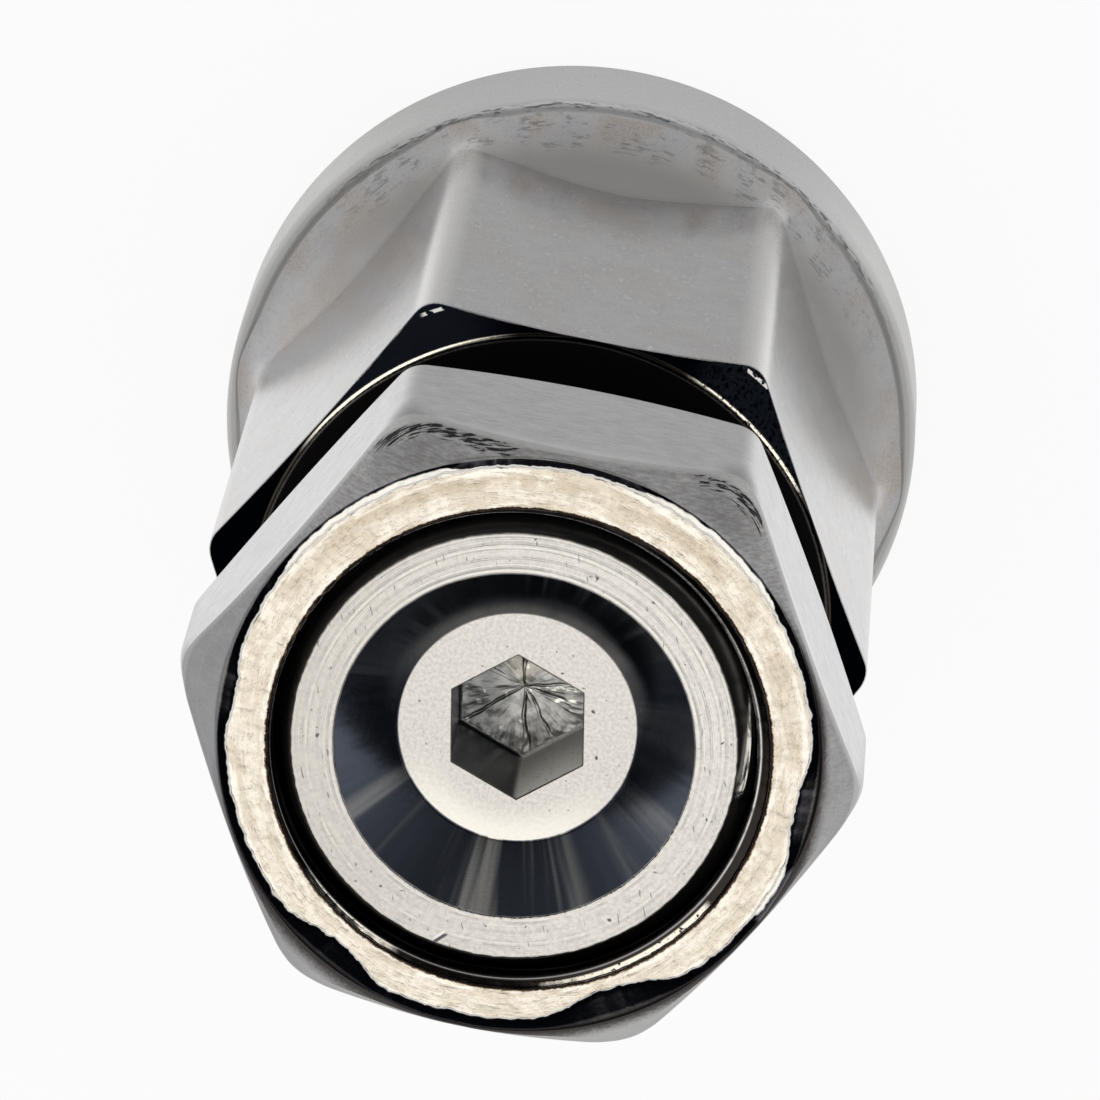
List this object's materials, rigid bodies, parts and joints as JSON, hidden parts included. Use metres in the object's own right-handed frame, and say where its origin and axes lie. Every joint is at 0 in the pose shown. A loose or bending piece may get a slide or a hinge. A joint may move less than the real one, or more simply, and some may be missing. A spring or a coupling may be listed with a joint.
{
  "type": "lug nut",
  "caption": "Flanged wheel lug nut with a threaded post on its outer end and an open cover nut that travels on the post to clamp a wheel cover.",
  "frame": {"origin": "centre of the flat seat face of the flange, the face the part stands on", "axes": "+Z along the common axis, from the seat face to the outer end of the post; the hexagons have corners on +X and -X and flats square to Y"},
  "size_m": [0.0278, 0.0278, 0.0455],
  "materials": {
    "wheel_nut_plating": "bright plated, slightly ground under the plating",
    "turned_steel": "turned, with fine concentric lines",
    "cover_nut_plating": "bright plated, rough peened ring round the mouth"
  },
  "bodies": {
    "wheel_nut": {"wheel_nut": "wheel_nut_plating", "threaded_post": "turned_steel"},
    "cover_nut": {"cover_nut": "cover_nut_plating"}
  },
  "joints": [
    {"name": "cover_nut_travel", "type": "slide", "parent": "wheel_nut", "child": "cover_nut", "axis": [0, 0, 1], "range_m": [-0.00635, 0.00635]}
  ]
}
